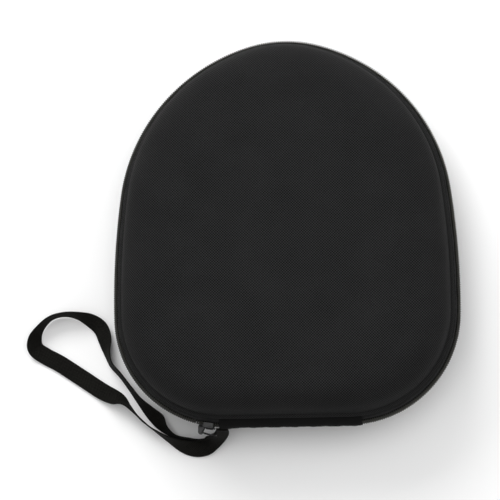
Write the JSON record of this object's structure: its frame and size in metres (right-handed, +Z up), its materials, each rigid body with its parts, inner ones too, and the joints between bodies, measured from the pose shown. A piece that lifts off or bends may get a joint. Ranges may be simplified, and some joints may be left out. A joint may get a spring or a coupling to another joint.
{
  "type": "headphone carrying case",
  "caption": "Round-topped hard zip case for folded over-ear headphones: two moulded shells, sewn hinge strip, zip slider, woven wrist strap loop.",
  "frame": {"origin": "centre of the closed case's outline on the surface it lies on, strap left out", "axes": "+X across the case, +Y from the hinge to the arch, +Z up through the lid"},
  "size_m": [0.2563, 0.2437, 0.055],
  "materials": {
    "woven_cover": "coarse plain-woven polyester, coated, dull sheen",
    "foam_core": "compression-moulded EVA foam",
    "lining": "brushed knit lining",
    "binding": "folded bias tape",
    "zip_tape": "herringbone zip tape",
    "zip_coil": "nylon coil",
    "thread": "bonded sewing thread",
    "gusset": "plain-woven fabric strip",
    "net": "open knitted net",
    "elastic": "ribbed elastic",
    "slider_metal": "black gloss enamel on die-cast zinc",
    "ribbon": "twill-woven ribbon"
  },
  "bodies": {
    "base": {"base_cover": "woven_cover", "base_core": "foam_core", "base_lining": "lining", "base_binding": "binding", "base_zip_tape": "zip_tape", "base_zip_coil": "zip_coil", "base_seam_thread": "thread", "hinge_gusset": "gusset", "hinge_lining": "binding", "strap_bartack": "thread", "hand_strap": "ribbon"},
    "lid": {"lid_cover": "woven_cover", "lid_core": "foam_core", "lid_lining": "lining", "lid_binding": "binding", "lid_zip_tape": "zip_tape", "lid_zip_coil": "zip_coil", "lid_seam_thread": "thread", "mesh_pocket": "net", "pocket_elastic": "elastic"},
    "slider": {"slider_body": "slider_metal"},
    "pull": {"pull_tab": "slider_metal"}
  },
  "joints": [
    {"name": "lid_hinge", "type": "hinge", "parent": "base", "child": "lid", "pos_m": [0, -0.1125, 0.0275], "axis": [1, 0, 0], "range_deg": [0, 180], "deforming": ["hinge_gusset", "hinge_lining"]},
    {"name": "slider_travel", "type": "hinge", "parent": "base", "child": "slider", "pos_m": [-0.035, -0.047, 0.0275], "axis": [0, 0, -1], "range_deg": [0, 70]},
    {"name": "pull_swing", "type": "hinge", "parent": "slider", "child": "pull", "pos_m": [-0.0497, -0.11442, 0.0275], "axis": [0, 0, -1], "range_deg": [0, 170]}
  ]
}
